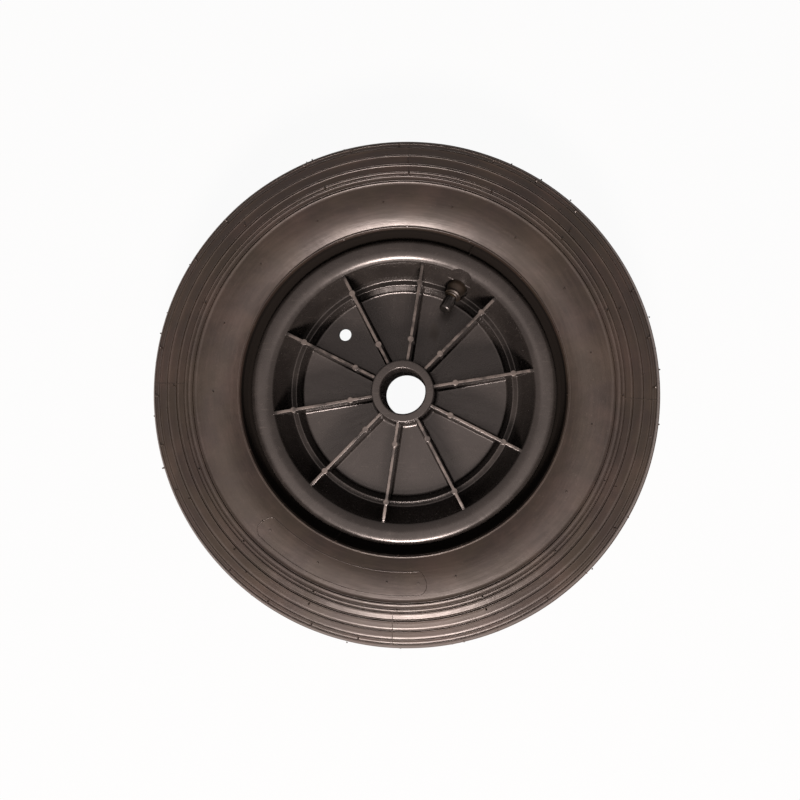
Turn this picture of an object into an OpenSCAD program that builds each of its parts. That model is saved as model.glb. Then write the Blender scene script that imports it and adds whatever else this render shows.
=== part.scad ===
// Pneumatic wheelbarrow wheel: one-piece moulded rim, tyre, inner tube and rubber-covered tyre valve.
// Millimetres. The origin is the wheel's centre, +Z is the spin axis and points out of the valve side,
// so the wheel lies on the sidewall of its other side.

/* [Hub] */
// Diameter of the plain bore, a seat for 35 mm bearings
bore_d = 35; // [25:0.5:38]
// Outer diameter of the hub
hub_d = 48; // [44:0.5:56]
// Length of the hub, end face to end face
hub_len = 90; // [82:1:98]

/* [Rim] */
// Height of the flange above the tyre's seat
flange_h = 17.7; // [16:0.1:22]
// Diameter of the tyre's seat where it meets the flange
seat_d = 203.6; // [202:0.2:205]
// Depth of the well between the two seats
well_depth = 11.8; // [10:0.2:14]
// Distance between the flanges' inner faces
flange_gap = 62; // [58:1:66]
// Height of the flange's rounded crown above its inner face
flange_rise = 6.5; // [5.5:0.1:8]
// Wall of the well and the seats
rim_wall = 4.1; // [3.5:0.1:4.6]
// Height of the ledge that runs around the disc
ledge_z = 14; // [12:0.5:16]
// Width of the ledge
ledge_w = 4.7; // [3:0.1:6]
// How far the wall between disc and ledge leans outwards
ledge_draft = 3.4; // [2:0.1:4]
// Thickness of the disc between hub and well
web_t = 5; // [3:0.5:8]
// Radius of the fillet between hub and disc
web_fillet = 4; // [2:0.5:5]
// Diameter of the small hole through the disc
web_hole_d = 10; // [6:0.5:12]
// Distance of the small hole's middle from the disc's edge
web_hole_in = 14.6; // [10:0.1:20]

/* [Ribs] */
// Number of ribs on each side of the disc
rib_count = 10; // [10:1:10]
// Angle of the first rib
rib_phase = 9.3; // [0:0.1:36]
// Thickness of a rib at its top edge
rib_top_t = 2; // [1.4:0.1:2.6]
// Thickness of a rib where it meets the disc's fillet
rib_base_t = 3.4; // [2.8:0.1:5]
// Radius of the fillet along a rib's foot
rib_fillet = 2.2; // [1:0.1:3]
// How far a rib's top edge lies under the hub's end face
rib_drop = 1.2; // [0.6:0.1:4]
// How far a rib's top edge falls between the hub and its outer end
rib_fall = 7.6; // [7:0.1:9]
// Diameter of the round ejector bosses on the ribs
boss_d = 4.6; // [4:0.1:6]
// Distance of the inner bosses from the hub's wall
boss_in_out = 17.1; // [10:0.1:28]
// Distance of the outer bosses from the ribs' outer ends
boss_out_in = 14.2; // [9:0.1:22]

/* [Tyre] */
// Outer diameter of the tyre
tyre_d = 409.4; // [400:0.2:420]
// Width of the tyre at its widest
tyre_w = 102; // [98:1:108]
// Place of the widest circle between the rim line and the tread's edge, as a share
wide_share = 0.342; // [0.3:0.01:0.42]
// How far the tread falls from its crown to its edge
tread_fall = 7.9; // [5:0.1:10]
// Width of the tread, edge to edge
tread_w = 66; // [60:1:72]
// Thickness of the tread over the casing
tread_t = 9.4; // [8.5:0.1:12]
// Thickness of the sidewall
sidewall_t = 4.4; // [3.5:0.1:6]
// Width of the bead that sits on the rim
bead_w = 8.2; // [7:0.1:9]
// Depth of the two inner tread grooves
groove_depth = 4; // [2:0.1:5]
// Width of a tread groove
groove_w = 4.6; // [3:0.1:5]
// Height of the moulded rings on the sidewall
ring_h = 0.6; // [0.3:0.1:1]
// Gap between the tyre and the rim
tyre_gap = 0.2; // [0.1:0.05:0.3]

/* [Inner tube] */
// Wall of the tube
tube_wall = 2; // [1.8:0.1:3]
// Gap between the tube and what holds it
tube_gap = 0.4; // [0.3:0.05:0.6]

/* [Valve] */
// How far the valve leans out of the wheel's plane, which is the lean of the well's flank too
valve_lean = 32; // [28:1:36]
// Diameter of the valve's rubber foot under the rim
foot_d = 17.4; // [17:0.1:18]
// Thickness of the rubber foot
foot_t = 0.8; // [0.6:0.1:1]
// Diameter of the valve's hole in the rim
valve_hole_d = 16; // [15.6:0.1:16.4]
// Diameter of the round recess around the valve on the disc's side
valve_recess_d = 19; // [18:0.1:20]
// Diameter of the rubber in the hole
valve_base_d = 15.2; // [14:0.1:15.3]
// Diameter of the rubber where it ends
valve_neck_d = 11; // [10:0.1:12]
// Bare thread between the rubber and the cap
bare_thread = 1.6; // [1:0.1:3]
// Diameter of the stem's thread
thread_d = 7.7; // [7.3:0.1:7.9]
// Diameter of the stem inside the rubber
stem_d = 7; // [6.6:0.1:7.2]
// Length of the stem above the rubber foot
stem_len = 27.5; // [27:0.5:29]
// Bore of the stem above the seal's seat
stem_bore_d = 5.3; // [5.1:0.05:5.5]
// Bore of the stem under the seal's seat
air_bore_d = 4.5; // [4.4:0.05:4.7]
// Diameter of the valve cap
cap_d = 9.4; // [9:0.1:10.5]
// Length of the valve cap
cap_len = 13; // [12:0.5:14]
// Thickness of the cap's end
cap_end_t = 1.5; // [1:0.1:2]
// Gap between the cap's thread and the stem's, on the radius
cap_gap = 0.1; // [0.06:0.01:0.2]

/* [Valve core] */
// Diameter of the core's barrel
barrel_d = 3.9; // [3.7:0.05:4]
// Diameter of the core's pin
pin_d = 1.1; // [0.9:0.05:1.2]
// Gap between the pin and the holes that guide it, on the radius
pin_gap = 0.15; // [0.1:0.01:0.2]
// Diameter of the spring's wire
spring_wire_d = 0.35; // [0.25:0.05:0.4]

/* [Hidden] */

$fn = 96;
plastic_colour = [0.16, 0.155, 0.155];
rubber_colour = [0.13, 0.12, 0.11];
tube_colour = [0.22, 0.19, 0.17];
brass_colour = [0.72, 0.56, 0.27];
steel_colour = [0.6, 0.6, 0.6];
cap_colour = [0.07, 0.07, 0.07];

bore_r = bore_d / 2;
hub_r = hub_d / 2;
hub_half = hub_len / 2;
edge_break = 0.8;
hub_draft = 0.6;
web_half = web_t / 2;

seat_r = seat_d / 2;
flange_r = seat_r + flange_h;
flange_in_z = flange_gap / 2;
crown_z = flange_in_z + flange_rise;
well_r = seat_r - well_depth;

// The well's flank is square to the valve.
lean_r = cos(valve_lean);
lean_z = sin(valve_lean);
seat_fall = 0.6;
slope = lean_z / lean_r;
flank_top_r = seat_r - seat_fall;
flank_top_z = flange_in_z - bead_w - 0.4;
wall_r = rim_wall * lean_r;
wall_z = rim_wall * lean_z;
flank_in_top = [flank_top_r - wall_r, flank_top_z + wall_z];
flank_low_z = ledge_z - rim_wall / 2;
flank_low_r = flank_top_r - (flank_top_z - flank_low_z) * slope;
under_z = ledge_z - rim_wall;
under_round = 1.2;
well_side = [[flank_top_r, flank_top_z], [flank_low_r, flank_low_z], [well_r + under_round, under_z],
    [well_r, under_z - under_round]];

// Between the disc and the flank runs a ledge.
ledge_out = [flank_in_top[0] - (flank_in_top[1] - ledge_z) * slope, ledge_z];
ledge_in = [ledge_out[0] - ledge_w, ledge_z];
web_out = [ledge_in[0] - ledge_draft, web_half];
web_hole_r = web_out[0] - web_hole_in;

// The flange is an arch: outer lip, crown, and a rounded fall to the opening.
arch_rise = flange_rise - 1;
arch_base_z = crown_z - arch_rise;
opening_r = flank_in_top[0] + 3.7;
arch_r = (flange_r + opening_r) / 2;
arch_half = (flange_r - opening_r) / 2;
lip_round = 0.6;

function arc_points(r, z, radius, from, to, steps) =
    [for (i = [0:steps]) let(a = from + (to - from) * i / steps) [r + radius * cos(a), z + radius * sin(a)]];
// Rounds the corner b between a and c, on either side of the wall.
function corner(a, b, c, radius, steps) = let(
        u = (a - b) / norm(a - b),
        v = (c - b) / norm(c - b),
        half = acos(u * v) / 2,
        middle = b + (u + v) / norm(u + v) * radius / sin(half),
        from = b + u * radius / tan(half) - middle,
        to = b + v * radius / tan(half) - middle,
        turn = 180 - 2 * half)
    [for (i = [0:steps]) middle + (from * sin(turn * (1 - i / steps)) + to * sin(turn * i / steps)) / sin(turn)];
function flipped(points) = [for (i = [len(points) - 1:-1:0]) if (points[i][1] > 0) [points[i][0], -points[i][1]]];
function both_sides(points) = concat(points, flipped(points));

// Half of the rim's section, from the bore over the hub, disc, flange and seat to the well.
rim_half = concat(
    [[bore_r, hub_half - edge_break], [bore_r + edge_break, hub_half]],
    arc_points(hub_r - edge_break, hub_half - edge_break, edge_break, 90, 0, 3),
    arc_points(hub_r + hub_draft + web_fillet, web_half + web_fillet, web_fillet, 180, 270, 5),
    corner([hub_r, web_half], web_out, ledge_in, 2.2, 4),
    corner(web_out, ledge_in, ledge_out, 1, 3),
    corner(ledge_in, ledge_out, flank_in_top, 1.6, 3),
    [flank_in_top, [opening_r - 1.2, arch_base_z - 2.4]],
    [for (a = [180:-10:0]) [arch_r + arch_half * cos(a), arch_base_z + arch_rise * sin(a)]],
    arc_points(flange_r - lip_round, flange_in_z + lip_round, lip_round, 0, -90, 3),
    arc_points(seat_r + 2, flange_in_z - 2, 2, 90, 180, 3),
    well_side);

// A rib's top edge falls in a straight line from the hub to the opening.
rib_in_r = hub_r - 3;
rib_out_r = opening_r - 0.6;
rib_hub_z = hub_half - rib_drop;
boss_in_r = hub_r + boss_in_out;
boss_out_r = rib_out_r - boss_out_in;
function rib_top_z(r) = rib_hub_z - rib_fall * (r - hub_r) / (rib_out_r - hub_r);
rib_half_top = rib_top_t / 2;
rib_half_base = rib_base_t / 2;
// The foot's fillet ends a little under the disc's face.
rib_sink = 0.1;
rib_foot_z = web_half + rib_fillet - rib_sink;
rib_section = concat(
    [[-rib_half_top, rib_hub_z + 1]],
    [for (a = [0:30:90]) [-rib_half_base - rib_fillet * (1 - cos(a)), rib_foot_z - rib_fillet * sin(a)]],
    [[-rib_half_base - rib_fillet, 0], [rib_half_base + rib_fillet, 0]],
    [for (a = [90:-30:0]) [rib_half_base + rib_fillet * (1 - cos(a)), rib_foot_z - rib_fillet * sin(a)]],
    [[rib_half_top, rib_hub_z + 1]]);
rib_end_r = opening_r + 1.4;
rib_end_z = arch_base_z + arch_rise * sqrt(1 - pow((arch_r - rib_end_r) / arch_half, 2)) - 0.3;
rib_outline = [[rib_in_r, 0], [rib_in_r, rib_top_z(rib_in_r)], [rib_out_r, rib_top_z(rib_out_r)],
    [rib_end_r, rib_end_z], [rib_end_r, flange_in_z], [ledge_out[0] + 0.4, flank_low_z],
    [well_r - 2, under_z - 2], [well_r - 2, 0]];

// The valve and the small hole each stand midway between two ribs.
rib_step = 360 / rib_count;
valve_angle = rib_phase + 1.5 * rib_step;
web_hole_angle = rib_phase + 3.5 * rib_step;

// Foot of the valve on the well's flank, as a share of the flank's length from its lower end.
foot_share = 0.323;
foot_r = flank_low_r + (flank_top_r - flank_low_r) * foot_share;
foot_z = flank_low_z + (flank_top_z - flank_low_z) * foot_share;
valve_hole_r = valve_hole_d / 2;
foot_gap = 0.2;
foot_recess_r = foot_d / 2 + foot_gap;
boss_round_r = foot_recess_r + 3.4;
boss_from = 0.4;
boss_face = rim_wall + 0.5;
recess_floor = rim_wall / 2 + 0.1;
// Long enough to cut clear through the wall around the valve.
foot_reach = 9;
// Above the valve a round pocket carries the flank's slope on up through the flange, a little deeper than the flank.
pocket_r = 10.2;
pocket_at = opening_r - 5.6;
pocket_from = flank_in_top[1];
pocket_top = crown_z + 1;
pocket_step = 0.3;
pocket_low_r = flank_in_top[0] + pocket_step;
pocket_room = [[0, pocket_from], [pocket_low_r, pocket_from],
    [pocket_low_r + (pocket_top - pocket_from) * slope, pocket_top], [0, pocket_top]];
// The boss around the valve stays inside the wall that carries it.
boss_margin = 0.2;
boss_room = concat([[0, crown_z], [flank_top_r - boss_margin, crown_z]],
    [for (p = well_side) [p[0] - boss_margin, p[1] + boss_margin]], [[well_r - boss_margin, 0], [0, 0]]);

// Tyre section. The sidewall follows one power curve to the tread and one to the bead.
tyre_r = tyre_d / 2;
side_z = tyre_w / 2;
edge_r = tyre_r - tread_fall;
edge_z = tread_w / 2;
bead_line_r = flange_r + 6.2;
bead_line_z = side_z - 6;
sidewall_h = edge_r - bead_line_r;
wide_r = bead_line_r + wide_share * sidewall_h;
function side_at(r) = r > wide_r
    ? side_z - (side_z - edge_z) * pow((r - wide_r) / (edge_r - wide_r), 2.3)
    : side_z - (side_z - bead_line_z) * pow((wide_r - r) / (wide_r - bead_line_r), 2.2);
// Moulded rings: distance from the tread's edge as a share of the sidewall's height, width, and height as a
// share of ring_h.
ring_places = [[0.0788, 1.2, 0.8], [0.1828, 1.4, 0.8], [0.3038, 1.8, -1.3], [0.3938, 1.3, 0.8],
    [0.436, 1.3, 0.8], [0.4979, 1.8, -1.3], [0.9873, 1.5, 1.6]];
rings = [for (place = ring_places) [edge_r - place[0] * sidewall_h, place[1], place[2]]];
ring_edges = [for (ring = rings) for (s = [-1, -0.6, 0.6, 1])
    [ring[0] + s * ring[1] / 2, abs(s) < 1 ? ring[2] * ring_h : 0]];
function near_ring(r) = len([for (ring = rings) if (abs(r - ring[0]) < ring[1] / 2 + 0.5) 1]) > 0;
plain_radii = [for (r = [bead_line_r + 2:2.4:edge_r - 1.6]) if (!near_ring(r)) r];
function sorted(list) = len(list) < 2 ? list : let(
        mid = list[floor(len(list) / 2)][0],
        low = [for (p = list) if (p[0] < mid) p],
        same = [for (p = list) if (p[0] == mid) p],
        high = [for (p = list) if (p[0] > mid) p]) concat(sorted(low), same, sorted(high));
side_points = sorted(concat(
    [for (r = plain_radii) [r, side_at(r)]],
    [for (e = ring_edges) [e[0], side_at(e[0]) + e[1]]]));

// Tread: crown rib, two grooves a side, and the shoulder rib that ends in the tread's edge.
function tread_at(z) = tyre_r - tread_fall * pow(z / edge_z, 1.7);
groove_1_z = edge_z * 0.258;
groove_2_z = edge_z * 0.606;
middle_rib_z = (groove_1_z + groove_w + groove_2_z) / 2;
shoulder_rib_z = (groove_2_z + groove_w + edge_z) / 2;
function groove_points(z) = [
    [tread_at(z + groove_w), z + groove_w], [tread_at(z + groove_w) - groove_depth * 0.8, z + groove_w * 0.8],
    [tread_at(z) - groove_depth * 0.8, z + groove_w * 0.2], [tread_at(z), z]];
tread_points = concat(
    [[edge_r - 0.7, edge_z + 0.4], [edge_r, edge_z], [tread_at(shoulder_rib_z), shoulder_rib_z]],
    groove_points(groove_2_z), [[tread_at(middle_rib_z), middle_rib_z]],
    groove_points(groove_1_z), [[tread_at(groove_1_z / 2), groove_1_z / 2]]);

// Inside of the tyre, from the crown to the bead's toe. It keeps the tread's thickness under the tread.
bead_in_r = seat_r + tyre_gap;
lip_r = flange_r + tyre_gap;
bead_face_z = flange_in_z - tyre_gap;
bead_toe_z = bead_face_z - bead_w;
shoulder_t = tread_t + 1.6;
casing_from_r = edge_r - shoulder_t;
casing_low_r = lip_r + 8;
casing_to_r = casing_low_r + 0.37 * (wide_r - casing_low_r);
casing_points = concat(
    [for (i = [0:5]) let(z = i * edge_z * 0.76 / 5) [tread_at(z) - tread_t, z]],
    [[edge_r - tread_t + 1, edge_z - 2.4]],
    [for (i = [0:7]) let(r = casing_from_r + (casing_to_r - casing_from_r) * i / 7) [r, side_at(r) - sidewall_t]],
    [[casing_low_r, bead_line_z - 4.6], [lip_r + 1.4, flange_in_z], [lip_r - 5.5, bead_toe_z + 3.4],
     [lip_r - 12.5, bead_toe_z], [bead_in_r + 1.2, bead_toe_z]]);
bead_edge = [bead_line_r - 0.4, bead_line_z - 0.8];
lip_top_z = arch_base_z + 1.4;
bead_bend_z = lip_top_z + (bead_edge[1] - lip_top_z) * 0.43;
tyre_half = concat(
    casing_points,
    [[bead_in_r, bead_toe_z + 1.2], [bead_in_r, bead_face_z - 2], [bead_in_r + 2, bead_face_z],
     [lip_r, bead_face_z], [lip_r, lip_top_z], [lip_r + 1.2, bead_bend_z], bead_edge],
    side_points, tread_points);

// The tube fills the tyre and the well. Its section is the cavity's, drawn in towards the middle.
cavity_half = concat(casing_points, well_side);
tube_mid_r = wide_r - 2;
tube_side = side_z - sidewall_t;
tube_crown = tyre_r - tread_t - tube_mid_r;
function drawn_in(points, inset) = [for (p = points)
    [tube_mid_r + (p[0] - tube_mid_r) * (1 - inset / tube_crown), p[1] * (1 - inset / tube_side)]];

// Valve, all measured along its own axis from its foot on the rim's flank.
neck_round = 0.8;
bond_gap = 0.03;
stem_in = foot_gap + foot_t;
stem_r = stem_d / 2;
thread_r = thread_d / 2;
stem_bore_r = stem_bore_d / 2;
air_bore_r = air_bore_d / 2;
seal_seat_at = stem_len - 9.2;
cap_from = stem_len + 0.6 + cap_end_t - cap_len;
rubber_len = cap_from - bare_thread;
cap_bore_r = thread_r + cap_gap;
cap_r = cap_d / 2;
cap_to = cap_from + cap_len;
cap_flutes = 14;

core_gap = 0.1;
plug_to = stem_len - 1.2;
plug_from = plug_to - 4.2;
plug_r = stem_bore_r - core_gap;
barrel_r = barrel_d / 2;
barrel_in_r = barrel_r - 0.6;
barrel_from = plug_from - 11;
seal_from = seal_seat_at + 0.1;
seal_to = seal_from + 2.2;
pin_r = pin_d / 2;
pin_hole_r = pin_r + pin_gap;
pin_to = stem_len - 0.3;
pin_from = barrel_from - 2.2;
pin_collar_at = plug_from - 2.6;
spring_from = barrel_from + 1.4;
spring_to = pin_collar_at - 0.05;
spring_mid_r = (barrel_in_r + pin_r) / 2 - 0.02;
spring_turns = 7;

module turned(points) {
    rotate_extrude($fn = 180) polygon(points);
}

module at_valve() {
    rotate([0, 0, valve_angle])
        translate([foot_r, 0, foot_z])
            rotate([0, -(90 - valve_lean), 0])
                children();
}

module ring_about_axis(radius, hole_r, from, to) {
    translate([0, 0, from])
        difference() {
            cylinder(r = radius, h = to - from);
            translate([0, 0, -1]) cylinder(r = hole_r, h = to - from + 2);
        }
}

module rib() {
    intersection() {
        rotate([90, 0, 90]) linear_extrude(height = rib_end_r + 1) polygon(rib_section);
        rotate([90, 0, 0]) translate([0, 0, -6]) linear_extrude(height = 12) polygon(rib_outline);
    }
    for (r = [boss_in_r, boss_out_r])
        translate([r, 0, 0]) cylinder(d = boss_d, h = rib_top_z(r) + 0.15, $fn = 32);
}

module ribs_one_side() {
    for (i = [0:rib_count - 1])
        rotate([0, 0, rib_phase + i * rib_step]) rib();
}

module rim() {
    color(plastic_colour)
        difference() {
            union() {
                turned(both_sides(rim_half));
                ribs_one_side();
                mirror([0, 0, 1]) ribs_one_side();
                intersection() {
                    at_valve() translate([0, 0, boss_from]) cylinder(r = boss_round_r, h = boss_face - boss_from);
                    turned(boss_room);
                }
            }
            rotate([0, 0, web_hole_angle])
                translate([web_hole_r, 0, -web_t]) cylinder(d = web_hole_d, h = 2 * web_t);
            at_valve() translate([0, 0, -foot_reach]) cylinder(r = valve_hole_r, h = 2 * foot_reach);
            at_valve() translate([0, 0, -foot_reach]) cylinder(r = foot_recess_r, h = foot_reach);
            at_valve() translate([0, 0, recess_floor]) cylinder(r = valve_recess_d / 2, h = 2 * foot_reach);
            intersection() {
                rotate([0, 0, valve_angle]) translate([pocket_at, 0, 0]) cylinder(r = pocket_r, h = pocket_top);
                turned(pocket_room);
            }
        }
}

module tyre() {
    color(rubber_colour) turned(both_sides(tyre_half));
}

module inner_tube() {
    color(tube_colour)
        difference() {
            turned(both_sides(drawn_in(cavity_half, tube_gap)));
            turned(both_sides(drawn_in(cavity_half, tube_gap + tube_wall)));
            at_valve() translate([0, 0, -stem_in - foot_gap]) cylinder(r = foot_recess_r, h = foot_reach);
            at_valve() translate([0, 0, -foot_reach]) cylinder(r = air_bore_r, h = foot_reach);
        }
}

module valve_rubber() {
    color(rubber_colour)
        at_valve()
            difference() {
                turned([[0, -stem_in], [foot_d / 2, -stem_in], [foot_d / 2, -foot_gap], [valve_base_d / 2, -foot_gap],
                    [valve_base_d / 2, boss_face + 0.6], [valve_neck_d / 2 + 0.5, rubber_len - 4.2],
                    [valve_neck_d / 2 + 1, rubber_len - 3.4], [valve_neck_d / 2 + 1, rubber_len - 2.2],
                    [valve_neck_d / 2, rubber_len - 1.6], [valve_neck_d / 2, rubber_len - neck_round],
                    [valve_neck_d / 2 - neck_round, rubber_len], [0, rubber_len]]);
                translate([0, 0, -stem_in - 1]) cylinder(r = stem_r + bond_gap, h = rubber_len + stem_in + 2);
            }
}

module valve_stem() {
    color(brass_colour)
        at_valve()
            difference() {
                turned([[0, -stem_in], [stem_r, -stem_in], [stem_r, rubber_len], [thread_r, rubber_len],
                    [thread_r, stem_len - 0.5], [thread_r - 0.5, stem_len], [0, stem_len]]);
                translate([0, 0, -stem_in - 1]) cylinder(r = air_bore_r, h = stem_len + stem_in + 2);
                turned([[0, seal_seat_at], [air_bore_r, seal_seat_at], [stem_bore_r, seal_seat_at + 1.2],
                    [stem_bore_r, stem_len + 1], [0, stem_len + 1]]);
            }
}

module core_plug() {
    color(brass_colour)
        at_valve()
            difference() {
                union() {
                    translate([0, 0, plug_from]) cylinder(r = plug_r, h = plug_to - plug_from - 1.4);
                    intersection() {
                        translate([0, 0, plug_from]) cylinder(r = plug_r - 0.3, h = plug_to - plug_from);
                        translate([-plug_r, -1.2, plug_from]) cube([2 * plug_r, 2.4, plug_to - plug_from]);
                    }
                }
                translate([0, 0, plug_from - 1]) cylinder(r = pin_hole_r, h = plug_to - plug_from + 2);
            }
}

module core_barrel() {
    color(brass_colour)
        at_valve()
            difference() {
                translate([0, 0, barrel_from]) cylinder(r = barrel_r, h = plug_from - 0.05 - barrel_from);
                translate([0, 0, barrel_from + 1.2]) cylinder(r = barrel_in_r, h = plug_from - barrel_from);
                translate([0, 0, barrel_from - 1]) cylinder(r = pin_hole_r, h = 4);
            }
}

module barrel_seal() {
    color(cap_colour)
        at_valve()
            difference() {
                turned([[0, seal_from], [air_bore_r - 0.05, seal_from], [stem_bore_r - 0.15, seal_from + 1.2],
                    [stem_bore_r - 0.15, seal_to], [0, seal_to]]);
                translate([0, 0, seal_from - 1]) cylinder(r = barrel_r + 0.03, h = seal_to - seal_from + 2);
            }
}

// One coil of round wire, swept as rings of points along a helix.
spring_steps = 14;
spring_sides = 6;
spring_rings = spring_turns * spring_steps;
spring_points = [for (i = [0:spring_rings], j = [0:spring_sides - 1]) let(
        turn = 360 * i / spring_steps,
        around = 360 * j / spring_sides,
        reach = spring_mid_r + spring_wire_d / 2 * cos(around),
        start = spring_from + spring_wire_d / 2,
        end = spring_to - spring_wire_d / 2)
    [reach * cos(turn), reach * sin(turn), start + (end - start) * i / spring_rings + spring_wire_d / 2 * sin(around)]];
spring_faces = concat(
    [for (i = [0:spring_rings - 1], j = [0:spring_sides - 1]) let(
            a = i * spring_sides + j,
            b = i * spring_sides + (j + 1) % spring_sides)
        [a, b, b + spring_sides, a + spring_sides]],
    [[for (j = [spring_sides - 1:-1:0]) j]],
    [[for (j = [0:spring_sides - 1]) spring_rings * spring_sides + j]]);

module core_spring() {
    color(steel_colour) at_valve() polyhedron(points = spring_points, faces = spring_faces);
}

module core_pin() {
    color(steel_colour)
        at_valve() {
            translate([0, 0, pin_from]) cylinder(r = pin_r, h = pin_to - pin_from);
            translate([0, 0, pin_collar_at]) cylinder(r = barrel_in_r - 0.12, h = 0.5);
            translate([0, 0, pin_from]) cylinder(r = barrel_r - 0.3, h = 0.6);
        }
}

module pin_seal() {
    color(cap_colour)
        at_valve()
            ring_about_axis(barrel_r - 0.4, pin_r + 0.02, pin_from + 0.62, barrel_from - 0.03);
}

module valve_cap() {
    color(cap_colour)
        at_valve()
            difference() {
                turned([[0, cap_from], [cap_r, cap_from], [cap_r, cap_to - 1.6], [cap_r - 0.5, cap_to - 0.6],
                    [cap_r - 1.5, cap_to], [0, cap_to]]);
                translate([0, 0, cap_from - 1]) cylinder(r = cap_bore_r, h = cap_len - cap_end_t + 1);
                for (i = [0:cap_flutes - 1])
                    rotate([0, 0, 360 * i / cap_flutes])
                        translate([cap_r + 0.3, 0, cap_from + 3]) cylinder(r = 0.6, h = cap_len, $fn = 16);
            }
}

rim();
tyre();
inner_tube();
valve_rubber();
valve_stem();
core_plug();
core_barrel();
barrel_seal();
core_spring();
core_pin();
pin_seal();
valve_cap();
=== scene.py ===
import math

import bmesh
import bpy
import numpy as np
from mathutils import Matrix, Vector


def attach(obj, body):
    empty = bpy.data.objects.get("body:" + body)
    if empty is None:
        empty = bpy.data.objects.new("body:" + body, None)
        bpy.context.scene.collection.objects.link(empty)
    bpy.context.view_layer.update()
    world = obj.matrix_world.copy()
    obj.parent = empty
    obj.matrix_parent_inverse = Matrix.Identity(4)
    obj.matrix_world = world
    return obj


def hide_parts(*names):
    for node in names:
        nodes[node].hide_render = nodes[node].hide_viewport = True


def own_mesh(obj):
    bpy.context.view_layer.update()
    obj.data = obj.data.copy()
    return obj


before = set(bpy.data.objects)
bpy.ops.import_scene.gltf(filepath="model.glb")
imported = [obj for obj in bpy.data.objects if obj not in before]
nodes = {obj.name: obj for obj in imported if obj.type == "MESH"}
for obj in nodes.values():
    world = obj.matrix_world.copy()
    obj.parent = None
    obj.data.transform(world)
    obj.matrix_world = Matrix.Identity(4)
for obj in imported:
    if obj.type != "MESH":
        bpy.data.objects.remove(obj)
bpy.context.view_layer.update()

scene = bpy.context.scene
scene.view_settings.view_transform = "Standard"
mm = 0.001


# A node's output, so that maths between sockets reads as a plain expression.
class Wire:
    def __init__(self, maker, socket):
        self.maker = maker
        self.socket = socket

    def maths(self, operation, other=None, swapped=False):
        pair = [other, self] if swapped else [self, other]
        values = {i: value for i, value in enumerate(pair) if value is not None}
        return self.maker.node("ShaderNodeMath", {"operation": operation}, values)

    def __add__(self, other):
        return self.maths("ADD", other)

    def __radd__(self, other):
        return self.maths("ADD", other, True)

    def __sub__(self, other):
        return self.maths("SUBTRACT", other)

    def __rsub__(self, other):
        return self.maths("SUBTRACT", other, True)

    def __mul__(self, other):
        return self.maths("MULTIPLY", other)

    def __rmul__(self, other):
        return self.maths("MULTIPLY", other, True)

    def out(self, name):
        return Wire(self.maker, self.socket.node.outputs[name])


# Adds nodes to one tree: settings first, then the values or links of the sockets.
class Maker:
    def __init__(self, tree):
        self.tree = tree

    def node(self, kind, settings=None, inputs=None, output=0):
        made = self.tree.nodes.new(kind)
        for key, value in (settings or {}).items():
            setattr(made, key, value)
        for key, value in (inputs or {}).items():
            if isinstance(value, Wire):
                self.tree.links.new(value.socket, made.inputs[key])
            else:
                made.inputs[key].default_value = value
        return Wire(self, None if output is None else made.outputs[output])

    def blend(self, factor, first, second):
        return self.node("ShaderNodeMix", {"data_type": "RGBA"}, {0: factor, 6: first, 7: second}, 2)

    def noise(self, place, scale, detail=3, rough=0.55):
        values = {"Vector": place, "Scale": scale, "Detail": detail, "Roughness": rough}
        return self.node("ShaderNodeTexNoise", None, values, "Fac")

    def span(self, value, low, high):
        return self.node("ShaderNodeMapRange", {"interpolation_type": "SMOOTHSTEP"},
                         {"Value": value, "From Min": low, "From Max": high}, "Result")

    def vector(self, operation, first, second, output="Vector"):
        return self.node("ShaderNodeVectorMath", {"operation": operation}, {0: first, 1: second}, output)

    def bump(self, height, strength, distance, under=None):
        values = {"Height": height, "Strength": strength, "Distance": distance}
        if under is not None:
            values["Normal"] = under
        return self.node("ShaderNodeBump", None, values)


def colour(red, green, blue):
    return (red, green, blue, 1)


# Starts a material and gives its maker, its shader node and the object's own coordinates.
def newMaterial(name, fixed):
    material = bpy.data.materials.new(name)
    material.use_nodes = True
    maker = Maker(material.node_tree)
    shader = material.node_tree.nodes["Principled BSDF"]
    for key, value in fixed.items():
        shader.inputs[key].default_value = value
    place = maker.node("ShaderNodeTexCoord", output="Object")
    return material, maker, shader, place


def feed(maker, shader, **wires):
    names = {"base": "Base Color", "rough": "Roughness", "normal": "Normal"}
    for key, wire in wires.items():
        maker.tree.links.new(wire.socket, shader.inputs[names[key]])


# A place on a ring that stretches marks along the turning direction.
def aroundAxis(maker, place, along, across):
    flat = maker.vector("MULTIPLY", place, (1, 1, 0))
    radius = maker.vector("LENGTH", flat, (0, 0, 0), "Value")
    parts = maker.node("ShaderNodeSeparateXYZ", None, {0: place})
    level = (radius + parts.out("Z")) * across
    ring = maker.vector("MULTIPLY", maker.vector("NORMALIZE", flat, (0, 0, 0)), (along, along, 0))
    lift = maker.node("ShaderNodeCombineXYZ", None, {"Z": level})
    return maker.vector("ADD", ring, lift)


# Painted shade fills the tyre's groove beside the flange as a dark, dull layer: its two radii and the heights
# where it starts and ends.
shadedGroove = {"inner": 0.1185, "outer": 0.1262, "foot": 0.0305, "top": 0.0435, "soft": 0.0008}


# Distance from the wheel's axis, and height over or under its middle.
def turnedPlace(maker, place):
    radius = maker.vector("LENGTH", maker.vector("MULTIPLY", place, (1, 1, 0)), (0, 0, 0), "Value")
    height = maker.node("ShaderNodeSeparateXYZ", None, {0: place}).out("Z").maths("ABSOLUTE")
    return radius, height


# How much of the painted shade in the groove beside the flange falls at a point.
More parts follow.
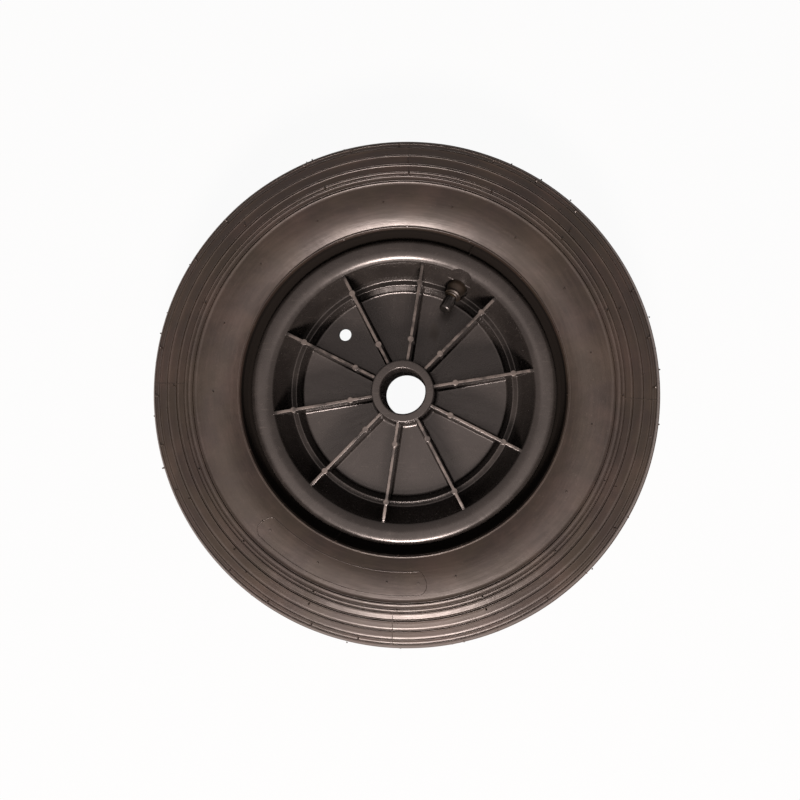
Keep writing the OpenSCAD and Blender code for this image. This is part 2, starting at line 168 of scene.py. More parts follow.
def shadedGrooveShare(maker, place):
    radius, height = turnedPlace(maker, place)
    soft = shadedGroove["soft"]
    across = maker.span(radius, shadedGroove["outer"], shadedGroove["outer"] - soft)
    across = across * maker.span(radius, shadedGroove["inner"] - soft, shadedGroove["inner"])
    deep = maker.span(height, shadedGroove["top"] + soft * 2, shadedGroove["top"] - soft * 2)
    return across * deep * maker.span(height, shadedGroove["foot"] - soft, shadedGroove["foot"])


def rubberMaterial(name, dark, pale, roughLow, roughHigh, hasShadedGroove=False):
    material, maker, shader, place = newMaterial(name, {"Specular IOR Level": 0.5})
    ring = aroundAxis(maker, place, 6, 420)
    cloud = maker.noise(place, 21, 5, 0.6)
    bloom = maker.span(cloud, 0.42, 0.68)
    patches = maker.span(maker.noise(place, 34, 3, 0.5), 0.35, 0.65)
    streak = maker.noise(ring, 1, 3, 0.6)
    grain = maker.noise(place, 1900, 2, 0.6)
    tone = bloom * 0.7 + maker.span(streak, 0.35, 0.75) * 0.3
    base = maker.blend(tone, dark, pale)
    base = maker.blend(patches * 0.35, base, colour(0.024, 0.02, 0.012))
    specks = maker.span(maker.noise(place, 520, 2, 0.7), 0.66, 0.74)
    base = maker.blend(specks * 0.2, base, colour(0.1, 0.085, 0.07))
    rough = maker.span(streak * 0.5 + cloud * 0.5, 0.3, 0.7) * (roughHigh - roughLow) + roughLow
    # Painted shade: a dark, dull layer over the rubber in the groove beside the flange.
    if hasShadedGroove:
        grooveShadeLayerColour = colour(0.007, 0.0062, 0.0055)
        grooveShadeLayerValues = {"Base Color": grooveShadeLayerColour, "Roughness": 1.0, "Specular IOR Level": 0.04}
        grooveShadeLayer = maker.node("ShaderNodeBsdfPrincipled", None, grooveShadeLayerValues)
        bare = Wire(maker, shader.outputs[0])
        mixed = maker.node("ShaderNodeMixShader", None, {0: shadedGrooveShare(maker, place), 1: bare, 2: grooveShadeLayer})
        maker.tree.links.new(mixed.socket, material.node_tree.nodes["Material Output"].inputs["Surface"])
    fine = maker.bump(grain, 0.25, 0.0001)
    rings = maker.bump(streak, 0.22, 0.00025, fine)
    waves = maker.bump(maker.noise(place, 48, 3, 0.55), 0.3, 0.0009, rings)
    feed(maker, shader, base=base, rough=rough, normal=waves)
    return material


# A warm, rougher patch on the disc below the valve: its middle, its stretch, and the distances where it fades.
valvePatch = {"middle": (0.0241, 0.0494, 0.0025), "stretch": (1, 0.6, 1), "ragged": 0.006, "outer": 0.0095,
        "inner": 0.0045}
# The ribs' tops are a straight line that falls outwards: its height on the axis, its fall, and the depths
# below it over which a rib's side turns to its top. The radii say where a rib starts at the hub and ends at
# the flank.
ribTop = {"start": 0.046175, "fall": 0.098958, "below": 0.0006, "near": 0.0001}
ribReach = {"hub": (0.0242, 0.0255), "flank": (0.1004, 0.0992)}
# The pale tone for the ribs' tops is partly scuffed wear and partly a painted highlight.
plasticTones = {
    "dark": colour(0.012, 0.011, 0.0105), "pale": colour(0.02, 0.0185, 0.0175),
    "dust": colour(0.1, 0.09, 0.08), "scuff": colour(0.12, 0.11, 0.1),
    "ribTopWearAndHighlight": colour(0.14, 0.127, 0.118), "blotch": colour(0.022, 0.017, 0.009),
}
plasticRough = {"least": 0.22, "flow": 0.08, "dust": 0.14, "blotch": 0.2}


def mouldedPlastic():
    material, maker, shader, place = newMaterial("mouldedPlastic", {"Specular IOR Level": 0.5})
    ring = aroundAxis(maker, place, 14, 60)
    cloud = maker.noise(place, 16, 5, 0.62)
    flow = maker.noise(ring, 1, 4, 0.65)
    scuffs = maker.span(maker.noise(maker.vector("MULTIPLY", place, (60, 900, 300)), 1, 3, 0.6), 0.62, 0.72)
    dust = maker.span(maker.noise(place, 240, 4, 0.7), 0.56, 0.78)
    base = maker.blend(maker.span(cloud, 0.35, 0.7), plasticTones["dark"], plasticTones["pale"])
    base = maker.blend(dust * 0.12, base, plasticTones["dust"])
    base = maker.blend(scuffs * 0.15, base, plasticTones["scuff"])
    radius, height = turnedPlace(maker, place)
    above = height + radius * ribTop["fall"] - ribTop["start"]
    onRib = maker.span(above, -ribTop["below"], -ribTop["near"]) * maker.span(radius, *ribReach["hub"])
    onRib = onRib * maker.span(radius, *ribReach["flank"])
    # Paler along the ribs' tops: partly scuffed wear, partly a painted highlight on their rounded tops.
    ribTopWearAndHighlight = onRib * maker.span(maker.noise(place, 110, 3, 0.6), 0.3, 0.6)
    base = maker.blend(ribTopWearAndHighlight * 0.6, base, plasticTones["ribTopWearAndHighlight"])
    # A warm, rougher patch on the disc below the valve.
    offset = maker.vector("SUBTRACT", place, valvePatch["middle"])
    near = maker.vector("LENGTH", maker.vector("MULTIPLY", offset, valvePatch["stretch"]), (0, 0, 0), "Value")
    near = near + maker.noise(place, 260, 3, 0.6) * valvePatch["ragged"]
    blotch = maker.span(near, valvePatch["outer"], valvePatch["inner"])
    base = maker.blend(blotch * 0.6, base, plasticTones["blotch"])
    rough = maker.span(flow, 0.3, 0.7) * plasticRough["flow"] + plasticRough["least"]
    rough = rough + dust * plasticRough["dust"] + blotch * plasticRough["blotch"]
    edge = maker.node("ShaderNodeBevel", {"samples": 12}, {"Radius": 0.0009})
    grain = maker.bump(maker.noise(place, 1400, 2, 0.5), 0.04, 0.0001, edge)
    waves = maker.bump(maker.noise(place, 55, 2, 0.4), 0.16, 0.0006, grain)
    feed(maker, shader, base=base, rough=rough, normal=waves)
    return material


def capPlastic():
    material, maker, shader, place = newMaterial("capPlastic", {"Specular IOR Level": 0.5})
    cloud = maker.noise(place, 160, 4, 0.6)
    black = colour(0.005, 0.005, 0.005)
    base = maker.blend(maker.span(cloud, 0.4, 0.7), black, colour(0.014, 0.013, 0.012))
    rough = maker.span(cloud, 0.3, 0.7) * 0.12 + 0.16
    edge = maker.node("ShaderNodeBevel", {"samples": 12}, {"Radius": 0.0008})
    grain = maker.bump(maker.noise(place, 2600, 2, 0.5), 0.06, 0.0001, edge)
    feed(maker, shader, base=base, rough=rough, normal=grain)
    return material


def metalMaterial(name, clean, dull, roughLow):
    material, maker, shader, place = newMaterial(name, {"Metallic": 1.0})
    blotch = maker.noise(place, 420, 5, 0.65)
    base = maker.blend(maker.span(blotch, 0.4, 0.66), clean, dull)
    rough = maker.span(blotch, 0.35, 0.7) * 0.25 + roughLow
    grain = maker.bump(maker.noise(place, 5200, 2, 0.5), 0.1, 0.00005)
    feed(maker, shader, base=base, rough=rough, normal=grain)
    return material


tyreTones = [colour(0.013, 0.0095, 0.0078), colour(0.03, 0.0205, 0.0165)]
tubeTones = [colour(0.05, 0.04, 0.034), colour(0.075, 0.062, 0.052)]
valveTones = [colour(0.006, 0.0048, 0.004), colour(0.02, 0.0135, 0.0095)]
sealTones = [colour(0.02, 0.02, 0.02), colour(0.04, 0.04, 0.04)]
finishes = {
    "rim": mouldedPlastic(),
    # The tyre's rubber carries painted shade in the groove beside the flange.
    "tyre": rubberMaterial("tyreRubber", *tyreTones, 0.27, 0.4, True),
    "tube": rubberMaterial("tubeRubber", *tubeTones, 0.5, 0.62),
    "valve": rubberMaterial("valveRubber", *valveTones, 0.34, 0.48),
    "seal": rubberMaterial("sealRubber", *sealTones, 0.45, 0.6),
    "cap": capPlastic(),
    "brass": metalMaterial("stemBrass", colour(0.24, 0.18, 0.1), colour(0.07, 0.055, 0.04), 0.4),
    "steel": metalMaterial("coreSteel", colour(0.6, 0.6, 0.6), colour(0.38, 0.38, 0.37), 0.28),
}
nodeFinish = {
    "rim": "rim", "tyre": "tyre", "inner_tube": "tube", "valve_rubber": "valve", "valve_stem": "brass",
    "core_plug": "brass", "core_barrel": "brass", "barrel_seal": "seal", "core_spring": "steel",
    "core_pin": "steel", "pin_seal": "seal", "valve_cap": "cap",
}
for nodeName, finish in nodeFinish.items():
    for materialSlot in nodes[nodeName].material_slots:
        materialSlot.material = finishes[finish]
print("Materials made")


# Geometry trees. Each has named inputs, and each result becomes a plain mesh.
def newTree(name, inputs):
    tree = bpy.data.node_groups.new(name, "GeometryNodeTree")
    tree.interface.new_socket("Geometry", in_out="INPUT", socket_type="NodeSocketGeometry")
    for label, kind in inputs.items():
        tree.interface.new_socket(label, in_out="INPUT", socket_type="NodeSocket" + kind)
    tree.interface.new_socket("Geometry", in_out="OUTPUT", socket_type="NodeSocketGeometry")
    maker = Maker(tree)
    start = maker.node("NodeGroupInput")
    return tree, maker, start


def endTree(maker, geometry, material):
    real = maker.node("GeometryNodeRealizeInstances", None, {0: geometry})
    painted = maker.node("GeometryNodeSetMaterial", None, {"Geometry": real, "Material": material})
    maker.node("NodeGroupOutput", None, {0: painted}, None)


def runTree(name, tree, values, baseMesh):
    carrier = bpy.data.objects.new(name, baseMesh)
    scene.collection.objects.link(carrier)
    modifier = carrier.modifiers.new("shape", "NODES")
    modifier.node_group = tree
    for item in tree.interface.items_tree:
        if item.in_out == "INPUT" and item.name in values:
            modifier[item.identifier] = values[item.name]
    bpy.context.view_layer.update()
    made = bpy.data.meshes.new_from_object(carrier.evaluated_get(bpy.context.evaluated_depsgraph_get()))
    carrier.modifiers.clear()
    carrier.data = made
    made.name = name
    return carrier


def lineMesh(name, lines, closed=False):
    mesh = bpy.data.meshes.new(name)
    points = []
    edges = []
    for line in lines:
        first = len(points)
        points.extend(line)
        edges.extend((first + i, first + i + 1) for i in range(len(line) - 1))
        if closed:
            edges.append((first + len(line) - 1, first))
    mesh.from_pydata(points, edges, [])
    return mesh


def outwards(piece):
    shape = bmesh.new()
    shape.from_mesh(piece.data)
    bmesh.ops.remove_doubles(shape, verts=shape.verts, dist=1e-6)
    bmesh.ops.recalc_face_normals(shape, faces=shape.faces)
    shape.to_mesh(piece.data)
    shape.free()


# A closed section turned about the axis, then made slightly uneven as moulded rubber is.
def buildTurnedTree():
    inputs = {"Ring Radius": "Float", "Steps": "Int", "Unevenness": "Float", "Uneven Scale": "Float",
              "Material": "Material"}
    tree, maker, start = newTree("turnedSection", inputs)
    section = maker.node("GeometryNodeMeshToCurve", None, {0: start.out("Geometry")})
    ringValues = {"Resolution": start.out("Steps"), "Radius": start.out("Ring Radius")}
    ring = maker.node("GeometryNodeCurvePrimitiveCircle", None, ringValues)
    body = maker.node("GeometryNodeCurveToMesh", None, {"Curve": ring, "Profile Curve": section})
    place = maker.node("GeometryNodeInputPosition")
    noise = maker.node("ShaderNodeTexNoise", None,
                       {"Vector": place, "Scale": start.out("Uneven Scale"), "Detail": 2.0}, "Color")
    middle = maker.node("ShaderNodeVectorMath", {"operation": "SUBTRACT"}, {0: noise, 1: (0.5, 0.5, 0.5)})
    shift = maker.node("ShaderNodeVectorMath", {"operation": "SCALE"},
                       {0: middle, "Scale": start.out("Unevenness")})
    moved = maker.node("GeometryNodeSetPosition", None, {"Geometry": body, "Offset": shift})
    smooth = maker.node("GeometryNodeSetShadeSmooth", None, {"Geometry": moved})
    endTree(maker, smooth, start.out("Material"))
    return tree


# Little rubber nibs or dots in a ring, leaning out from the axis, some missing, none quite alike. The shortest
# and longest are shares of the stated length.
nibLengths = {2: 0.45, 3: 1.15}


def buildNibTree():
    inputs = {"Count": "Int", "Radius": "Float", "Height": "Float", "Phase": "Float", "Lean": "Float",
              "Length": "Float", "Thickness": "Float", "Taper": "Float", "Kept": "Float", "Jitter": "Float",
              "Seed": "Int", "Material": "Material"}
    tree, maker, start = newTree("nibRing", inputs)
    circle = maker.node("GeometryNodeMeshCircle", None,
                        {"Vertices": start.out("Count"), "Radius": start.out("Radius")})
    turn = maker.node("ShaderNodeCombineXYZ", None, {"Z": start.out("Phase")})
    lift = maker.node("ShaderNodeCombineXYZ", None, {"Z": start.out("Height")})
    placed = maker.node("GeometryNodeTransform", None,
                        {"Geometry": circle, "Translation": lift, "Rotation": turn})
    spread = start.out("Jitter")
    low = maker.node("ShaderNodeCombineXYZ", None, {"X": spread * -1, "Y": spread * -1})
    high = maker.node("ShaderNodeCombineXYZ", None, {"X": spread, "Y": spread})
    drift = maker.node("FunctionNodeRandomValue", {"data_type": "FLOAT_VECTOR"},
                       {0: low, 1: high, "Seed": start.out("Seed")})
    moved = maker.node("GeometryNodeSetPosition", None, {"Geometry": placed, "Offset": drift})
    kept = maker.node("FunctionNodeRandomValue", {"data_type": "BOOLEAN"},
                      {"Probability": start.out("Kept"), "Seed": start.out("Seed") + 7}, 3)
    place = maker.node("GeometryNodeInputPosition")
    flat = maker.node("ShaderNodeVectorMath", {"operation": "MULTIPLY"}, {0: place, 1: (1, 1, 0)})
    side = maker.node("ShaderNodeVectorMath", {"operation": "NORMALIZE"}, {0: flat})
    reach = maker.node("ShaderNodeVectorMath", {"operation": "SCALE"},
                       {0: side, "Scale": start.out("Lean").maths("SINE")})
    rise = maker.node("ShaderNodeCombineXYZ", None, {"Z": start.out("Lean").maths("COSINE")})
    aim = maker.node("ShaderNodeVectorMath", {"operation": "ADD"}, {0: reach, 1: rise})
    facing = maker.node("FunctionNodeAlignRotationToVector", {"axis": "Z"}, {"Vector": aim})
    size = maker.node("FunctionNodeRandomValue", {"data_type": "FLOAT"},
                      {**nibLengths, "Seed": start.out("Seed") + 3}, 1)
    scale = maker.node("ShaderNodeCombineXYZ", None, {"X": 1.0, "Y": 1.0, "Z": size})
    tip = start.out("Thickness") * start.out("Taper")
    nib = maker.node("GeometryNodeMeshCone", None,
                     {"Vertices": 8, "Side Segments": 1, "Radius Top": tip,
                      "Radius Bottom": start.out("Thickness"), "Depth": start.out("Length")})
    placedValues = {"Points": moved, "Selection": kept, "Instance": nib, "Rotation": facing, "Scale": scale}
    spreadOut = maker.node("GeometryNodeInstanceOnPoints", None, placedValues)
    endTree(maker, spreadOut, start.out("Material"))
    return tree


# A fine raised line or hair along a path.
def buildLineTree():
    inputs = {"Thickness": "Float", "Sides": "Int", "Material": "Material"}
    tree, maker, start = newTree("raisedLine", inputs)
    path = maker.node("GeometryNodeMeshToCurve", None, {0: start.out("Geometry")})
    profile = maker.node("GeometryNodeCurvePrimitiveCircle", None,
                         {"Resolution": start.out("Sides"), "Radius": start.out("Thickness")})
    body = maker.node("GeometryNodeCurveToMesh", None,
                      {"Curve": path, "Profile Curve": profile, "Fill Caps": True})
    smooth = maker.node("GeometryNodeSetShadeSmooth", None, {"Geometry": body})
    endTree(maker, smooth, start.out("Material"))
    return tree


turnedTree = buildTurnedTree()
nibTree = buildNibTree()
lineTree = buildLineTree()

# Tyre
sizes = {
    "outerRadius": 204.7, "sideHalf": 51, "wideRadius": 150, "edgeRadius": 196.8, "edgeHalf": 33,
    "beadLineRadius": 125.7, "beadLineHalf": 45, "treadFall": 7.9, "grooveDepth": 4, "grooveWidth": 4.6,
    "treadThickness": 9.4, "sidewall": 4.4, "steps": 480, "unevenness": 0.5 * mm, "unevenScale": 14,
    "shoulderCurve": 2.3, "beadCurve": 2.2, "treadCurve": 1.7, "plainStep": 2.5, "beadClear": 2.4,
    "edgeClear": 2, "ringClear": 0.5, "casingEdge": 11, "casingStep": 8, "casingEnd": 14,
    "grooveFeet": (20, 8.5), "betweenGrooves": 16.5,
}
# Moulded rings on the sidewall: radius, width, depth of the line between its two low lips. One stands up.
sideRings = [(195.4, 1.4, 0.9), (191.2, 1.9, 0.8), (183.8, 1.9, 1.0), (175.2, 2.3, 1.3), (168.8, 1.7, 0.9),
             (165.8, 1.7, 0.7), (161.4, 2.3, 1.3), (126.6, 1.5, -1.0)]


def tyreSide(radius):
    if radius > sizes["wideRadius"]:
        share = (radius - sizes["wideRadius"]) / (sizes["edgeRadius"] - sizes["wideRadius"])
        return sizes["sideHalf"] - (sizes["sideHalf"] - sizes["edgeHalf"]) * share ** sizes["shoulderCurve"]
    share = (sizes["wideRadius"] - radius) / (sizes["wideRadius"] - sizes["beadLineRadius"])
    return sizes["sideHalf"] - (sizes["sideHalf"] - sizes["beadLineHalf"]) * share ** sizes["beadCurve"]


def treadRadius(height):
    share = abs(height) / sizes["edgeHalf"]
    return sizes["outerRadius"] - sizes["treadFall"] * share ** sizes["treadCurve"]


def ringProfile():
    sunk = [(-0.5, 0), (-0.38, 0.3), (-0.27, 0.52), (-0.17, 0.1), (-0.09, -0.7), (0.0, -0.8), (0.09, -0.7),
            (0.17, -0.05), (0.27, 0.36), (0.4, 0.22), (0.5, 0)]
    raised = [(-0.5, 0), (-0.36, -0.35), (-0.22, -0.9), (0.0, -1), (0.22, -0.9), (0.36, -0.35), (0.5, 0)]
    points = []
    for radius, width, depth in sideRings:
        for place, share in sunk if depth > 0 else raised:
            r = radius + place * width
            points.append((r, tyreSide(r) + share * depth))
    return points


def sidePoints():
    points = ringProfile()
    first = sizes["beadLineRadius"] + sizes["beadClear"]
    for r in np.arange(first, sizes["edgeRadius"] - sizes["edgeClear"], sizes["plainStep"]):
        if all(abs(r - ring[0]) > ring[1] / 2 + sizes["ringClear"] for ring in sideRings):
            points.append((r, tyreSide(r)))
    return sorted(points)


def groovePoints(height):
    width = sizes["grooveWidth"]
    depth = sizes["grooveDepth"]
    steps = [(1.08, 0), (1.0, 0.06), (0.93, 0.4), (0.86, 0.9), (0.78, 1.0), (0.5, 1.0), (0.22, 1.0),
             (0.14, 0.9), (0.07, 0.4), (0.0, 0.06), (-0.08, 0)]
    points = []
    for place, share in steps:
        level = height + place * width
        points.append((treadRadius(level) - share * depth, level))
    return points


def treadPoints():
    edgeRadius = sizes["edgeRadius"]
    edgeHalf = sizes["edgeHalf"]
    edge = [(edgeRadius - 0.9, edgeHalf + 0.7), (edgeRadius - 0.3, edgeHalf + 0.3),
            (edgeRadius, edgeHalf - 0.3), (treadRadius(31), 31), (treadRadius(28), 28)]
    crown = [(treadRadius(z), z) for z in (4.5, 1.2, 0.5)] + [(treadRadius(0) + 0.28, 0.18)]
    outer, inner = sizes["grooveFeet"]
    middle = sizes["betweenGrooves"]
    return edge + groovePoints(outer) + [(treadRadius(middle), middle)] + groovePoints(inner) + crown


def casingPoints():
    fromRadius = sizes["edgeRadius"] - sizes["casingEdge"]
    fromHeight = tyreSide(fromRadius) - sizes["sidewall"]
    topRadius = sizes["outerRadius"] - sizes["treadThickness"]
    arc = [(fromRadius + (topRadius - fromRadius) * math.sin(a), fromHeight * math.cos(a))
           for a in np.radians([78, 66, 54, 42, 30, 18, 6])]
    step = sizes["casingStep"]
    radii = np.arange(fromRadius - step, sizes["wideRadius"] - sizes["casingEnd"], -step)
    return arc + [(r, tyreSide(r) - sizes["sidewall"]) for r in radii]


# The bead follows the solid of the frame: toe, seat and face against the flange. The groove beside the flange
# is deeper than the solid's.
def beadPoints():
    return [(127.7, 40.4), (121.1, 31.0), (114.2, 26.0), (107.2, 22.6), (103.4, 22.6), (102.2, 23.6),
            (102.0, 24.8), (102.0, 28.2), (102.5, 29.8), (104.0, 30.8), (106.0, 30.8), (118.0, 30.8),
            (119.4, 31.2), (119.6, 31.8), (119.8, 32.6), (122.4, 32.6), (124.3, 33.8), (125.0, 36.4),
            (125.2, 40.5), (125.4, 43.8)]


upperSection = casingPoints() + beadPoints() + sidePoints() + treadPoints()
lowerSection = [(r, -z) for r, z in reversed(upperSection)]
tyreLoop = [((r - sizes["wideRadius"]) * mm, -z * mm, 0) for r, z in upperSection + lowerSection]
tyreValues = {"Ring Radius": sizes["wideRadius"] * mm, "Steps": sizes["steps"],
              "Unevenness": sizes["unevenness"], "Uneven Scale": sizes["unevenScale"],
              "Material": finishes["tyre"]}
tyre = runTree("tyreBody", turnedTree, tyreValues, lineMesh("tyreLoop", [tyreLoop], True))
outwards(tyre)
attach(tyre, "wheel")
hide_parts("tyre")
print("Tyre made,", len(tyre.data.vertices), "points")

# Vent nibs: rings of them on the front, and fewer on the back, which the wheel lies on.
nibRows = [
    {"Count": 16, "Radius": 126.8, "Height": 45.6, "Phase": -1.5, "Lean": -30, "Length": 1.6, "Kept": 0.95},
    {"Count": 16, "Radius": 167.2, "Height": 49.3, "Phase": -1.5, "Lean": 8, "Length": 2.0, "Kept": 0.8},
    {"Count": 16, "Radius": 177.5, "Height": 45.2, "Phase": -1.5, "Lean": 24, "Length": 2.0, "Kept": 0.6},
    {"Count": 16, "Radius": 184.5, "Height": 41.3, "Phase": 4, "Lean": 38, "Length": 1.8, "Kept": 0.6},
    {"Count": 32, "Radius": 193.5, "Height": 35.8, "Phase": 1, "Lean": 55, "Length": 2.0, "Kept": 0.55},
    {"Count": 17, "Radius": 146.0, "Height": 50.9, "Phase": 11, "Lean": 0, "Length": 1.3, "Kept": 0.85},
    {"Count": 46, "Radius": 199.9, "Height": 24.5, "Phase": 2, "Lean": 78, "Length": 1.5, "Kept": 0.3},
    {"Count": 30, "Radius": 202.9, "Height": 13.0, "Phase": 5, "Lean": 90, "Length": 1.2, "Kept": 0.4},
]
nibShape = {"thickness": 0.8 * mm, "taper": 0.55, "jitter": 0.8 * mm}
# Rows that stand higher than this are the front's alone.
frontOnlyAbove = 48
firstSeed = 5
nibCount = 0
for row in nibRows:
    for facing in (1, -1):
        if facing < 0 and row["Height"] > frontOnlyAbove:
            continue
        lean = row["Lean"] if facing > 0 else 180 - row["Lean"]
        values = {"Count": row["Count"], "Kept": row["Kept"], "Radius": row["Radius"] * mm,
                  "Height": facing * row["Height"] * mm, "Length": row["Length"] * mm,
                  "Phase": math.radians(row["Phase"]), "Lean": math.radians(lean),
                  "Thickness": nibShape["thickness"], "Taper": nibShape["taper"],
                  "Jitter": nibShape["jitter"], "Seed": nibCount + firstSeed, "Material": finishes["tyre"]}
        nibCount += 1
        nibs = runTree("ventNibs%d" % nibCount, nibTree, values, bpy.data.meshes.new("nibBase"))
        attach(nibs, "wheel")


# Mould joints on the shoulder, long vent hairs over the flange, and the outline of a raised panel with a dot
# at either end.
def onSide(radius, angle, lift=0.0):
    a = math.radians(angle)
    return (radius * math.cos(a) * mm, radius * math.sin(a) * mm, (tyreSide(radius) + lift) * mm)


mouldAngles = [88.5, 178, 267.5, 358]
mouldLines = [[onSide(r, angle) for r in np.linspace(168, 196, 15)] for angle in mouldAngles]
hairs = [[(118.0, 35.2, 64.2), (120.5, 38.6, 64.0), (124.0, 42.6, 63.7), (126.6, 46.4, 63.2)],
         [(118.4, 34.6, 246.2), (121.0, 38.9, 246.0), (124.0, 42.2, 245.6), (126.6, 46.2, 245.0)]]


def hairPoint(radius, height, angle):
    a = math.radians(angle)
    return (radius * math.cos(a) * mm, radius * math.sin(a) * mm, height * mm)


hairLines = [[hairPoint(*point) for point in hair] for hair in hairs]
panel = {"outer": 155.6, "inner": 137.8, "from": 225, "to": 275, "steps": 41, "lift": 0.05, "dotRadius": 147,
         "dotAngles": (226.6, 274.7), "dotFoot": -0.6, "dotTop": 0.5}
panelAngles = list(np.linspace(panel["from"], panel["to"], panel["steps"]))
panelEnd = [(154.2, 276.0), (151.3, 276.9), (147.0, 277.2), (142.0, 276.7), (138.8, 275.9)]
panelStart = [(138.8, 224.1), (142.0, 223.3), (147.0, 222.8), (151.3, 223.1), (154.2, 224.0)]
panelPath = [(panel["outer"], angle) for angle in panelAngles] + panelEnd
panelPath += [(panel["inner"], angle) for angle in reversed(panelAngles)] + panelStart
panelLoop = [onSide(r, angle, panel["lift"]) for r, angle in panelPath]
panelDots = [[onSide(panel["dotRadius"], angle, lift) for lift in (panel["dotFoot"], panel["dotTop"])]
             for angle in panel["dotAngles"]]
lineJobs = [("mouldLines", mouldLines, 0.28, False), ("ventHairs", hairLines, 0.32, False),
            ("panelOutline", [panelLoop], 0.26, True), ("panelDots", panelDots, 1.2, False)]
for name, lines, thickness, closed in lineJobs:
    values = {"Thickness": thickness * mm, "Sides": 6, "Material": finishes["tyre"]}
    piece = runTree(name, lineTree, values, lineMesh(name + "Path", lines, closed))
    outwards(piece)
    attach(piece, "wheel")
print("Nibs and moulded lines made")

# Rim and valve: the frame's shapes with their points joined, so that light runs smoothly over their curves.
# The ledge around the rim's disc falls a little to the flank, and the flanges' outer half is flatter.
ledge = {"inner": 86.8, "width": 4.4, "outer": 93.5, "foot": 13.1, "level": 14.02, "top": 16.5, "fall": 1.7}
flangeArch = {"middle": 110.46, "half": 9.04, "lowest": 32.1, "rise": 5.5, "outermost": 0.999}
smoothJobs = [
    {"node": "rim", "name": "rimMoulding", "body": "wheel", "slot": "rim_plastic", "angle": 38},
    {"node": "valve_rubber", "name": "valveCover", "body": "wheel", "slot": "valve_rubber", "angle": 50},
    {"node": "valve_stem", "name": "valveTube", "body": "wheel", "slot": "stem_brass", "angle": 50},
    {"node": "valve_cap", "name": "valveCap", "body": "cap", "slot": "cap_plastic", "angle": 60},
]


def lowerLedge(shape):
    for vert in shape.verts:
        radius = math.hypot(vert.co.x, vert.co.y) / mm
        height = abs(vert.co.z) / mm
        if ledge["foot"] < height < ledge["top"] and ledge["inner"] < radius < ledge["outer"]:
            share = min((radius - ledge["inner"]) / ledge["width"], 1)
            fade = min((ledge["top"] - height) / (ledge["top"] - ledge["level"]), 1)
            vert.co.z -= math.copysign(ledge["fall"] * share * fade * mm, vert.co.z)


def flattenFlange(shape):
    for vert in shape.verts:
        share = (math.hypot(vert.co.x, vert.co.y) / mm - flangeArch["middle"]) / flangeArch["half"]
        if 0 < share < flangeArch["outermost"] and abs(vert.co.z) / mm > flangeArch["lowest"]:
            lift = math.sqrt(1 - share ** 4) - math.sqrt(1 - share ** 2)
            vert.co.z += math.copysign(flangeArch["rise"] * lift * mm, vert.co.z)


joinDistance = 2e-6
for job in smoothJobs:
    mesh = nodes[job["node"]].data.copy()
    mesh.name = job["name"]
    shape = bmesh.new()
    shape.from_mesh(mesh)
    bmesh.ops.remove_doubles(shape, verts=shape.verts, dist=joinDistance)
    if job["node"] == "rim":
        lowerLedge(shape)
        flattenFlange(shape)
    for face in shape.faces:
        face.smooth = True
    for edge in shape.edges:
        edge.smooth = not edge.is_manifold or edge.calc_face_angle(0) < math.radians(job["angle"])
    shape.to_mesh(mesh)
    shape.free()
    piece = bpy.data.objects.new(job["name"], mesh)
    scene.collection.objects.link(piece)
    weighted = piece.modifiers.new("even", "WEIGHTED_NORMAL")
    weighted.keep_sharp = True
    weighted.weight = 80
    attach(piece, job["body"])
    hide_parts(job["node"])
print("Rim and valve made")

# The spring in the valve's core, between its seat and the pin's collar, as a plain copy of its own mesh.
springMesh = nodes["core_spring"].data.copy()
springMesh.name = "coreSpring"
spring = bpy.data.objects.new("coreSpring", springMesh)
scene.collection.objects.link(spring)
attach(spring, "wheel")
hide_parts("core_spring")
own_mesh(spring)

# Floor
floorFacts = {"half": 3.0, "level": -0.051, "shade": 0.05,
              "tones": [colour(0.33, 0.33, 0.33), colour(0.37, 0.37, 0.37)]}


def paperMaterial():
    material, maker, shader, place = newMaterial("paleFloor", {"Roughness": 0.9, "Specular IOR Level": 0.1})
    fleck = maker.noise(place, 30, 3, 0.5)
    feed(maker, shader, base=maker.blend(fleck, *floorFacts["tones"]))
    path = maker.node("ShaderNodeLightPath")
    seen = path.out("Is Camera Ray").maths("MAXIMUM", path.out("Is Transmission Ray"))
    glow = maker.node("ShaderNodeEmission", None, {"Color": colour(1, 1, 1), "Strength": 1.0})
    plain = Wire(maker, shader.outputs[0])
    share = seen * (1 - floorFacts["shade"])
    mixed = maker.node("ShaderNodeMixShader", None, {0: share, 1: plain, 2: glow})
    output = material.node_tree.nodes["Material Output"]
    maker.tree.links.new(mixed.socket, output.inputs["Surface"])
    return material


half = floorFacts["half"]
level = floorFacts["level"]
floorMesh = bpy.data.meshes.new("floorSheet")
corners = [(-half, -half, level), (half, -half, level), (half, half, level), (-half, half, level)]
floorMesh.from_pydata(corners, [], [(0, 1, 2, 3)])
floorMesh.materials.append(paperMaterial())
floor = bpy.data.objects.new("floorSheet", floorMesh)
scene.collection.objects.link(floor)

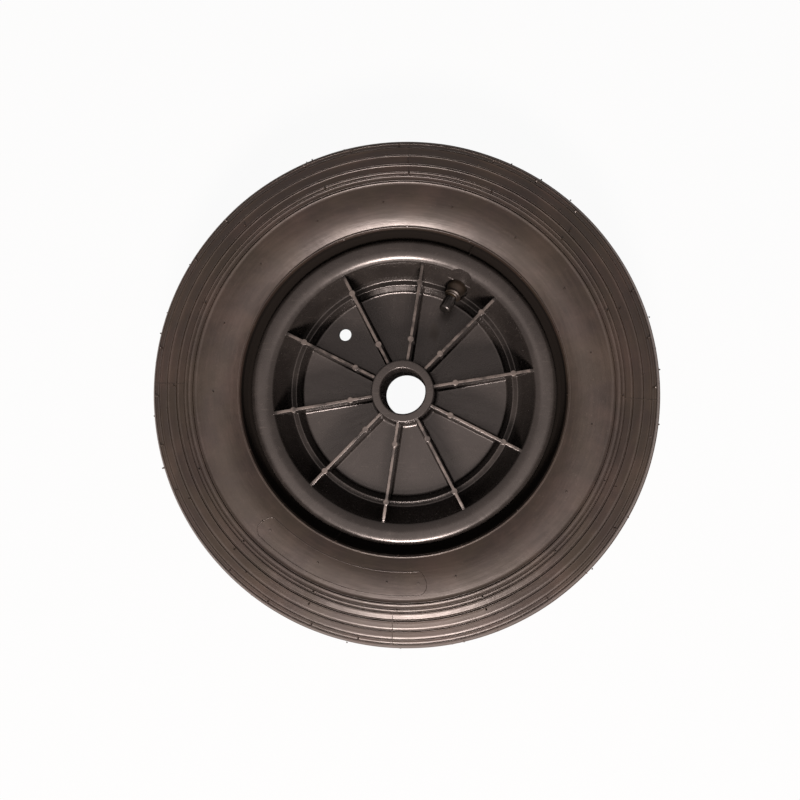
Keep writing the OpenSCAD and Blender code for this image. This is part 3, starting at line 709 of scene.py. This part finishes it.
# The surroundings: white to the camera, a warm room to shiny surfaces, and a weak fill to all else.
world = bpy.data.worlds.new("studio")
world.use_nodes = True
scene.world = world
worldMaker = Maker(world.node_tree)
worldPath = worldMaker.node("ShaderNodeLightPath")
fill = world.node_tree.nodes["Background"]
fill.inputs["Color"].default_value = colour(1, 0.9, 0.85)
fill.inputs["Strength"].default_value = 0.1
white = worldMaker.node("ShaderNodeBackground", None, {"Color": colour(1, 1, 1), "Strength": 1.0})
shine = worldMaker.node("ShaderNodeBackground", None, {"Color": colour(1, 0.82, 0.76), "Strength": 0.62})
glossyValues = {0: worldPath.out("Is Glossy Ray"), 1: Wire(worldMaker, fill.outputs[0]), 2: shine}
glossyMix = worldMaker.node("ShaderNodeMixShader", None, glossyValues)
cameraValues = {0: worldPath.out("Is Camera Ray"), 1: glossyMix, 2: white}
worldMix = worldMaker.node("ShaderNodeMixShader", None, cameraValues)
world.node_tree.links.new(worldMix.socket, world.node_tree.nodes["World Output"].inputs["Surface"])

# Lamps, all turned to the wheel's middle.
lampColour = (1.0, 0.82, 0.75)
lamps = [
    {"name": "softLamp", "place": (-0.1, -0.75, 2.0), "size": (2.0, 1.9), "power": 14},
    {"name": "windowLamp", "place": (0.02, -1.6, 1.85), "size": (0.65, 0.55), "power": 125},
    {"name": "lowLamp", "place": (-0.1, -2.2, 0.75), "size": (2.2, 0.7), "power": 20},
]
for facts in lamps:
    data = bpy.data.lights.new(facts["name"], "AREA")
    data.color = lampColour
    data.shape = "RECTANGLE"
    data.size = facts["size"][0]
    data.size_y = facts["size"][1]
    data.energy = facts["power"]
    lamp = bpy.data.objects.new(facts["name"], data)
    scene.collection.objects.link(lamp)
    aim = (-Vector(facts["place"])).to_track_quat("-Z", "Y").to_matrix().to_4x4()
    lamp.matrix_world = Matrix.Translation(facts["place"]) @ aim

# Camera, placed from the pixels of the wheel's circles.
cameraFacts = {"place": (0.03026, -0.03322, 0.7805), "look": (-0.04377, 0.03584, -0.9984),
               "up": (0.00157, 0.99936, 0.0358), "lens": 43.14, "sensor": 36}
cameraData = bpy.data.cameras.new("photoCamera")
cameraData.lens = cameraFacts["lens"]
cameraData.sensor_width = cameraFacts["sensor"]
camera = bpy.data.objects.new("photoCamera", cameraData)
scene.collection.objects.link(camera)
back = -Vector(cameraFacts["look"]).normalized()
right = Vector(cameraFacts["up"]).cross(back).normalized()
upright = back.cross(right)
turn = Matrix((right, upright, back)).transposed().to_4x4()
camera.matrix_world = Matrix.Translation(cameraFacts["place"]) @ turn
scene.camera = camera
print("Stage, lamps and camera set")
